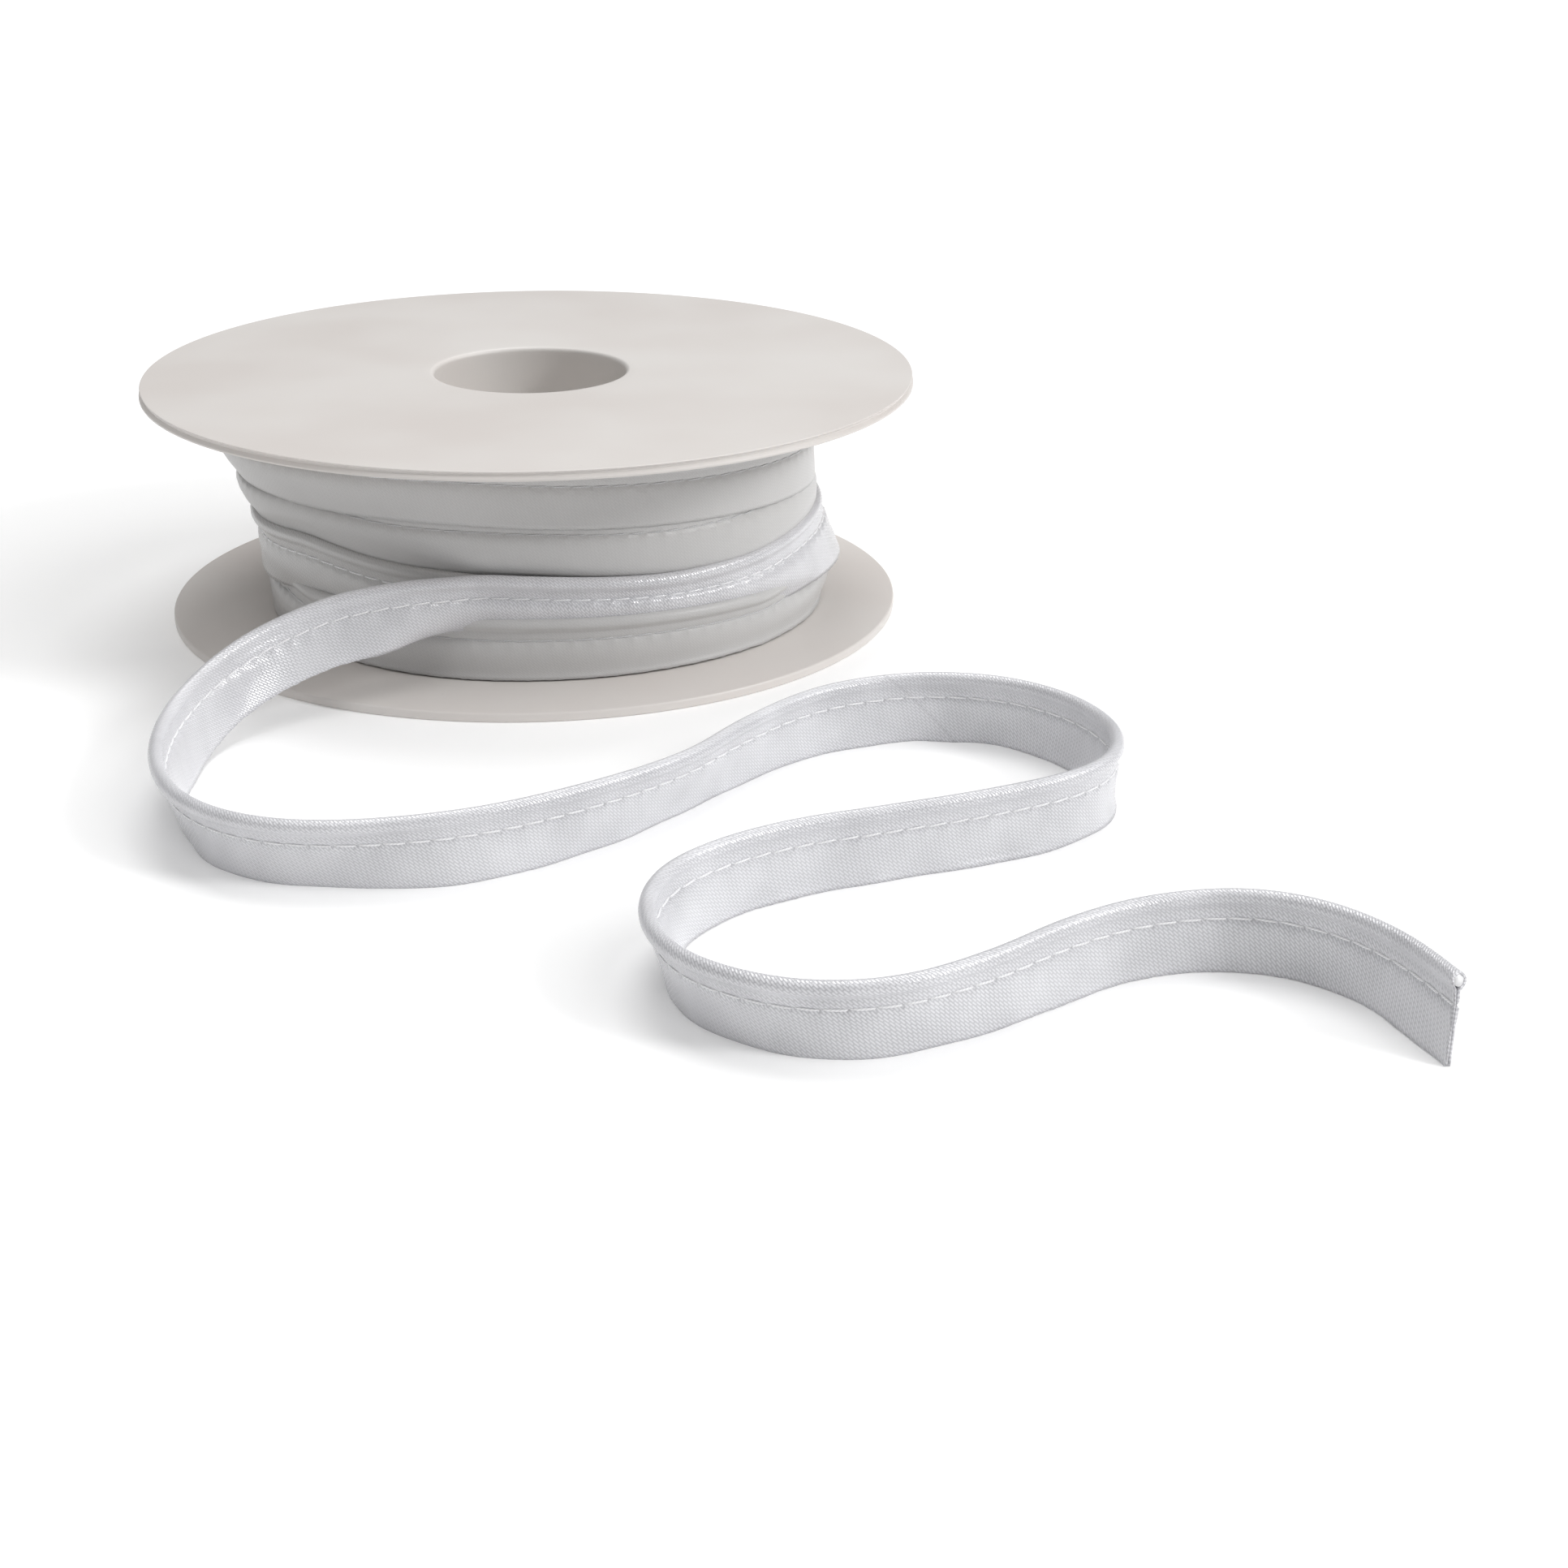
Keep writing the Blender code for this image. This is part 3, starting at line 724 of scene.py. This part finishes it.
def sewn_row(name, tape, sides, first, last, thread):
    """The stitches on the faces of a tape: a thread from each needle hole to the next one,
    sunk in its groove, a little slanting, and dipping into the holes."""
    lines, run, pitch = tape
    parts = np.array([0.0, 0.08, 0.3, 0.7, 0.92, 1.0])
    lift = np.array([-0.30, 0.00, 0.12, 0.12, 0.00, -0.30]) * MM
    slim = np.array([0.55, 0.9, 1.0, 1.0, 0.9, 0.55])
    holes = np.arange(round(first / pitch), round(last / pitch))
    places = ((holes[:, None] + parts[None, :]) * pitch).ravel()
    rows = read_lines(lines, run, places)
    further = read_lines(lines, run, places + 0.2 * MM)
    ahead = unit(further - read_lines(lines, run, places - 0.2 * MM))
    slant = np.tile((parts - 0.5) * STITCH_LEAN, len(holes))
    depths = (STITCH_DEPTH + slant)[:, None]
    middle = at_depths(rows, depths)[:, 0]
    down = unit(np.gradient(rows, axis=1))
    down = unit(at_depths(down, depths)[:, 0])
    right = unit(np.cross(down, at_depths(ahead, depths)[:, 0]))
    half = half_tape(places, depths[:, 0], pitch)
    angles = np.radians(np.arange(THREAD_SIDES) * 360 / THREAD_SIDES)[None, :, None]
    points = []
    faces = []
    uv = []
    for side in sides:
        centre = middle + side * right * (half + np.tile(lift, len(holes)))[:, None]
        size = thread * np.tile(slim, len(holes))[:, None, None]
        out = np.cos(angles) * right[:, None] + np.sin(angles) * down[:, None]
        tube = centre[:, None] + size * out
        start = sum(len(block) for block in points)
        points.append(tube.reshape(-1, 3))
        for hole in range(len(holes)):
            base = start + hole * len(parts) * THREAD_SIDES
            for i in range(len(parts) - 1):
                a = base + i * THREAD_SIDES
                b = a + THREAD_SIDES
                at = places[hole * len(parts) + i]
                to = places[hole * len(parts) + i + 1]
                for j in range(THREAD_SIDES):
                    k = (j + 1) % THREAD_SIDES
                    low = j / THREAD_SIDES
                    high = (j + 1) / THREAD_SIDES
                    faces.append((a + j, a + k, b + k, b + j))
                    uv += [(at, low), (at, high), (to, high), (to, low)]
            for i, turn in ((0, -1), (len(parts) - 1, 1)):
                end = [base + i * THREAD_SIDES + j for j in range(THREAD_SIDES)]
                faces.append(tuple(end[::turn]))
                at = places[hole * len(parts) + i]
                uv += [(at, j / THREAD_SIDES) for j in range(THREAD_SIDES)]
    piece = cloth_piece(name, np.concatenate(points), faces, uv)
    bpy.ops.object.select_all(action="DESELECT")
    piece.select_set(True)
    bpy.context.view_layer.objects.active = piece
    bpy.ops.object.mode_set(mode="EDIT")
    bpy.ops.mesh.select_all(action="SELECT")
    bpy.ops.mesh.normals_make_consistent(inside=False)
    bpy.ops.object.mode_set(mode="OBJECT")
    return piece


def sewing_thread(name, dark, light):
    """Spun polyester, two plies twisted together, with painted shade between the plies."""
    finish, shader, shade = new_finish(name, 0.4, Coat_Weight=0.3)
    cloth = shade.node("ShaderNodeUVMap", {"uv_map": "cloth"})
    along = shade.node("ShaderNodeSeparateXYZ", sockets={0: cloth})
    around = along.also("Y")
    ply_turn = (along * (1 / PLY_LENGTH) + around * 2.0).maths("FRACT") * 2.0 - 1.0
    ply = 1.0 - ply_turn * ply_turn
    # The colour is painted shade in the grooves between the plies and painted light on their crowns.
    join_to(shader, "Base Color", ply.blend(dark, light))
    twist = shade.node(
        "ShaderNodeBump", sockets={"Strength": 0.8, "Distance": 0.03 * MM, "Height": ply}
    )
    join_to(shader, "Normal", twist)
    return finish


# The stitches on the reel's turns take a darker copy of the thread, painted shade to match the darker
# satin there.
shaded_sunk_thread = sewing_thread("shaded_sunk_sewing_thread", (0.52, 0.52, 0.54, 1), (0.68, 0.68, 0.69, 1))
ring_angles = np.arange(RING_START, RING_START + 360.0, RING_STEP)


def flat_edge(run, depth):
    """A layer that lies flat all the way, whatever the run."""
    return LAYERS_APART * parted(depth)


def lifted_edge(run, depth):
    """The lowest turn's edge stands on the flange and curls outwards at the front right."""
    angle = RING_START + run / (2 * math.pi * RING_RADIUS) * 360.0
    return (0.08 + 0.22 * np.exp(-(((angle - 325.0) / 24.0) ** 2))) * MM * flared(depth)


for letter, band, edge in (
    ("a", band_a, flat_edge), ("b", band_b, flat_edge), ("d", band_d, lifted_edge)
):
    lines = wound_lines(band, ring_angles, True)
    turn, tape = fold_tape(
        f"tape_turn_{letter}", lines, True, (flat_edge, edge), FLANGE + ABOVE_FLANGE
    )
    turn.data.materials.append(shaded_wound_satin)
    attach(turn, "root")
    stitches = sewn_row(f"stitches_turn_{letter}", tape, (-1,), 0.0, tape[1][-1], SUNK_THREAD)
    stitches.data.materials.append(shaded_sunk_thread)
    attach(stitches, "root")
    if letter == "a":
        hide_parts("tape_winding")


# The last turn and the loose end are one length of tape. It goes once round the reel, over
# its own earlier turn at the front left, leaves the winding at the front, and stands on its
# lower edge on the surface in three bends.
THREAD = 0.19 * MM
CORD_RADIUS = 0.84 * MM
CORD_STEP = 2.0 * MM
CORD_SIDES = 12
CUT_SLANT = 3.0 * MM
CUT_REACH = 16.0 * MM
JOIN_AT_EDGE = 251.4 * MM
JOIN_SLOPE = 1.0
ALLOWANCE = 3.2 * MM

# The satin fades from its neighbours' darker colours, painted shade, to its own between
# these distances before it leaves the reel, in millimetres.
PAINTED_SHADE_FADE = (130.0, 70.0)

# Stretches where the right and left layers curl outwards: the place along the loose end, how
# far the curl reaches to each side, and its height, in millimetres.
RIGHT_FLARES = ((229.0, 9.0, 0.50), (249.5, 3.5, 0.50), (300.0, 14.0, 0.15), (500.0, 11.0, 0.40))
LEFT_FLARES = ((325.0, 36.0, 0.65), (60.0, 30.0, 0.25), (366.0, 12.0, 0.30))

# The lower edge's route from the reel's axis: x, y and height in millimetres, the lean in
# degrees, and how much of the width is still caught below, in millimetres.
ROUTE = np.array((
    (-12.8, -53.3, 13.9, 0, 4.4),
    (-20.6, -57.0, 12.4, 6, 2.4),
    (-27.8, -59.9, 10.4, 16, 0.8),
    (-34.6, -62.4, 8.8, 20, 0.0),
    (-41.0, -65.0, 7.0, 20, 0.0),
    (-46.8, -68.6, 5.0, 20, 0.0),
    (-51.6, -73.4, 2.8, 19, 0.0),
    (-54.9, -79.6, 1.0, 19, 0.0),
    (-56.9, -87.4, 0.1, 19, 0.0),
    (-57.6, -96.0, 0.0, 18, 0.0),
    (-57.3, -105.0, 0.0, 18, 0.0),
    (-55.8, -113.6, 0.0, 18, 0.0),
    (-52.6, -122.2, 0.0, 18, 0.0),
    (-46.6, -129.6, 0.0, 17, 0.0),
    (-38.2, -134.4, 0.0, 15, 0.0),
    (-27.6, -136.6, 0.0, 11, 0.0),
    (-15.3, -136.8, 0.0, 3, 0.0),
    (-3.2, -132.6, 0.0, 3, 0.0),
    (9.6, -123.4, 0.0, 10, 0.0),
    (21.0, -112.6, 0.0, 14, 0.0),
    (30.8, -101.6, 0.0, 9, 0.0),
    (42.0, -91.4, 0.0, 4, 0.0),
    (52.0, -86.0, 0.0, 0, 0.0),
    (64.0, -83.6, 0.0, -1, 0.0),
    (75.6, -86.4, 0.0, -3, 0.0),
    (84.0, -93.4, 0.0, -4, 0.0),
    (89.2, -103.0, 0.0, -3, 0.0),
    (90.6, -113.2, 0.0, -2, 0.0),
    (87.4, -122.8, 0.0, -2, 0.0),
    (79.4, -130.0, 0.0, -2, 0.0),
    (66.0, -135.8, 0.0, -1, 0.0),
    (50.0, -140.8, 0.0, 1, 0.0),
    (37.0, -144.8, 0.0, 2, 0.0),
    (26.0, -151.8, 0.0, 7, 0.0),
    (18.8, -160.8, 0.0, 14, 0.0),
    (16.4, -171.6, 0.0, 17, 0.0),
    (18.2, -182.4, 0.0, 16, 0.0),
    (24.4, -190.8, 0.0, 12, 0.0),
    (34.2, -195.8, 0.0, 9, 0.0),
    (45.6, -195.6, 0.0, 6, 0.0),
    (58.0, -190.6, 0.0, 0, 0.0),
    (70.6, -182.2, 0.0, -3, 0.0),
    (82.4, -176.6, 0.0, -4, 0.0),
    (95.0, -175.4, 0.0, -5, 0.0),
    (104.6, -180.4, 0.0, -8, 0.0),
    (111.2, -190.6, 0.0, -11, 0.0),
    (115.4, -206.0, 0.0, -12, 0.0),
))
ROUTE_FINENESS = 20
LAST_TURN_START = -24.0
LAST_TURN_END = 371.0
EVEN_STEP = 0.5 * MM
ROUTE_SOFTNESS = 2.2 * MM
ROUTE_REACH = 14
EDGE_LIFT = 0.4 * MM
CURL = math.radians(80)
CURL_START = 1.0 * MM
CURL_FULL = 2.4 * MM
SWAY_BELOW = 2.5 * MM


def loose_lines():
    """Points down the loose tape's middle, straight but for the part still caught below."""
    route = curve_through(ROUTE, ROUTE_FINENESS)
    foot = route[:, :3] * MM + np.array([reel_x, reel_y, 0.0])
    foot[:, 2] = np.maximum(foot[:, 2], 0.0)
    ahead = np.gradient(foot, axis=0)
    right = unit(np.stack([ahead[:, 1], -ahead[:, 0], np.zeros(len(foot))], axis=1))
    lean = np.radians(route[:, 3])[:, None]
    over = np.array([[0.0, 0.0, 1.0]])
    across = right * np.cos(lean) - over * np.sin(lean)
    upward = right * np.sin(lean) + over * np.cos(lean)
    caught = np.maximum(route[:, 4], 0.0)[:, None] * MM
    foot[:, 2] += np.abs(np.sin(lean[:, 0])) * EDGE_LIFT
    bead = foot + upward * (FLAT - caught)
    depths = np.linspace(0.0, FLAT, LINES_ACROSS)
    step = depths[1]
    start = FLAT - caught - CURL_START
    most = CURL * np.minimum(caught / CURL_FULL, 1.0)
    turn = most * np.clip((depths - start) / (FLAT - start), 0, 1)
    sideways = (np.cumsum(np.sin(turn), axis=1) * step)[..., None]
    downward = (np.cumsum(np.cos(turn), axis=1) * step - step)[..., None]
    return bead[:, None] + across[:, None] * sideways - upward[:, None] * downward


last_angles = np.arange(LAST_TURN_START, LAST_TURN_END + 0.1, RING_STEP)
last_turn = wound_lines(band_c, last_angles, False)
lines = np.concatenate([last_turn, loose_lines()])
run = run_along(lines)
even = np.arange(0.0, run[-1], EVEN_STEP)
lines = read_lines(lines, run, even)
reach = np.arange(-ROUTE_REACH, ROUTE_REACH + 1)
weights = np.exp(-((reach * EVEN_STEP / ROUTE_SOFTNESS) ** 2) / 2)
weights /= weights.sum()
before = 2 * lines[:1] - lines[ROUTE_REACH:0:-1]
after = 2 * lines[-1:] - lines[-2 : -ROUTE_REACH - 2 : -1]
padded = np.concatenate([before, lines, after])
lines = sum(weight * padded[i : i + len(lines)] for i, weight in enumerate(weights))
run = run_along(lines)
wound_length = run_along(last_turn)[-1]

# Off the reel the cloth sways a little: a long wave at the bead and shorter ones below.
depths = np.linspace(0.0, FLAT, LINES_ACROSS)[None, :]
free = smooth_rise((run[:, None] - wound_length - 15 * MM) / (25 * MM))
low = np.clip((depths - SWAY_BELOW) / (FLAT - SWAY_BELOW), 0, 1)
place = run[:, None] / MM
sway = 0.20 * np.sin(place / 5.1 + 1.3) * low
sway = sway + 0.10 * np.sin(place / 2.3 + 0.4 + 2.0 * low) * low ** 2
sway = sway + 0.12 * np.sin(place / 9.7) * (1 - low)
lines = lines + (free * sway * MM)[..., None] * right_of(lines, False)

# The end is cut on a slant, so the bead ends before the lower edge does.
near_end = smooth_rise((run[:, None] - run[-1] + CUT_REACH) / CUT_REACH)
cut = CUT_SLANT * (1 - depths / FLAT) * near_end
for column in range(LINES_ACROSS):
    for axis in range(3):
        lines[:, column, axis] = np.interp(run - cut[:, column], run, lines[:, column, axis])


def loose_edge(run, depth, waves, flares, opening):
    """How far one layer of the loose end stands off, with its curled stretches."""
    loose = run - wound_length
    ends = smooth_rise(loose / (30 * MM)) * smooth_rise((tape_length - run) / (7 * MM))
    wave = 0.5 + 0.3 * np.sin(run / (waves[0] * MM)) + 0.2 * np.sin(run / (waves[1] * MM) + 1.0)
    apart = (0.06 + 0.16 * wave) + opening * np.exp(-(((loose / MM - 276.0) / 24.0) ** 2))
    curl = 0.05 + 0.05 * wave
    for place, reach_along, height in flares:
        curl = curl + height * np.exp(-(((loose / MM - place) / reach_along) ** 2))
    return ends * (apart * parted(depth) + curl * flared(depth)) * MM


def right_edge(run, depth):
    """The inner layer on the reel; the join's seam allowance makes a low ridge in it."""
    seam = wound_length + JOIN_AT_EDGE - JOIN_SLOPE * (FLAT - depth)
    ridge = 0.09 * MM * np.exp(-(((run - seam) / ALLOWANCE) ** 4))
    return loose_edge(run, depth, (6.3, 2.9), RIGHT_FLARES, 0.9) + ridge


def left_edge(run, depth):
    """The outer layer on the reel; there its edge curls outwards at the front right."""
    on_reel = np.exp(-(((run - wound_length + 42.0 * MM) / (26.0 * MM)) ** 2))
    curl = 0.35 * MM * on_reel * flared(depth)
    return loose_edge(run, depth, (7.7, 3.3), LEFT_FLARES, 0.0) + curl


tape_length = float(run[-1])
loose, tape = fold_tape("loose_tape_strip", lines, False, (right_edge, left_edge), 0.02 * MM)
join_place = (wound_length + JOIN_AT_EDGE) / MM
# Over this stretch the last turn fades out of the painted shade of the turns beside it.
shade_fade_start = wound_length / MM - PAINTED_SHADE_FADE[0]
shade_fade_end = wound_length / MM - PAINTED_SHADE_FADE[1]
# The loose satin's dark and light colours are painted shade in its rib gaps and painted light on its
# rib crowns.
loose.data.materials.append(satin(
    "loose_bias_satin", (0.28, 0.28, 0.30, 1), (0.83, 0.83, 0.858, 1), 1.0, (0.37, 0.15),
    0.026 * MM, (join_place, JOIN_SLOPE),
    (shade_fade_start, shade_fade_end, SHADED_WOUND_DARK, SHADED_WOUND_LIGHT)
))
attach(loose, "root")
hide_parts("loose_tape")

thread_finish = sewing_thread("white_sewing_thread", (0.80, 0.80, 0.82, 1), (0.95, 0.95, 0.96, 1))
loose_stitches = sewn_row("loose_stitches", tape, (1, -1), 2 * MM, tape[1][-1] - 1 * MM, THREAD)
loose_stitches.data.materials.append(thread_finish)
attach(loose_stitches, "root")

places = np.append(np.arange(0.0, tape_length, CORD_STEP), tape_length - 0.02 * MM)
rows = read_lines(lines, run, places)
right = right_of(rows, False)[:, :1]
down = unit(np.gradient(rows, axis=1))[:, :1]
angles = np.radians(np.arange(CORD_SIDES) * 360 / CORD_SIDES)[None, :, None]
cord_rings = rows[:, :1] + CORD_RADIUS * (np.cos(angles) * right - np.sin(angles) * down)
around_cord = np.arange(CORD_SIDES) * CORD_RADIUS * 2 * math.pi / CORD_SIDES
cord = cloth_mesh("cord_in_the_fold", cord_rings, places, around_cord, False, tape_length)
cord.data.materials.append(thread_finish)
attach(cord, "root")


# The surface is a plain white one under a pale sky. Three broad lights come from above and
# behind, from the front left and from the right, and a narrower one comes low from the right.
bpy.ops.object.select_all(action="DESELECT")
bpy.ops.mesh.primitive_circle_add(vertices=64, radius=6.0, fill_type="NGON", location=(0, 0, 0))
floor = bpy.context.active_object
floor.name = "floor"
floor_finish, floor_shader, floor_shade = new_finish("white_surface", 0.9)
floor_shader.inputs["Base Color"].default_value = (0.93, 0.93, 0.93, 1)
floor_shader.inputs["Emission Color"].default_value = (1.0, 1.0, 1.0, 1)
floor_shader.inputs["Emission Strength"].default_value = 0.12
floor.data.materials.append(floor_finish)

world = bpy.data.worlds.new("pale_sky")
world.use_nodes = True
world.node_tree.nodes["Background"].inputs["Color"].default_value = (1.0, 1.0, 1.0, 1)
world.node_tree.nodes["Background"].inputs["Strength"].default_value = 0.22
bpy.context.scene.world = world


def sun(name, strength, softness, height, heading):
    """A far light. Heading 0 comes from behind the reel and 90 from its right."""
    light = bpy.data.objects.new(name, bpy.data.lights.new(name, "SUN"))
    light.data.energy = strength
    light.data.angle = math.radians(softness)
    light.rotation_euler = (math.radians(90 - height), 0.0, math.radians(180 - heading))
    bpy.context.scene.collection.objects.link(light)


sun("light_above", 1.15, 34, 62, 12)
sun("light_in_front", 0.65, 44, 64, 222)
sun("light_right", 1.0, 46, 44, 98)
sun("light_crisp", 1.0, 14, 30, 112)

bpy.context.scene.view_settings.view_transform = "Standard"
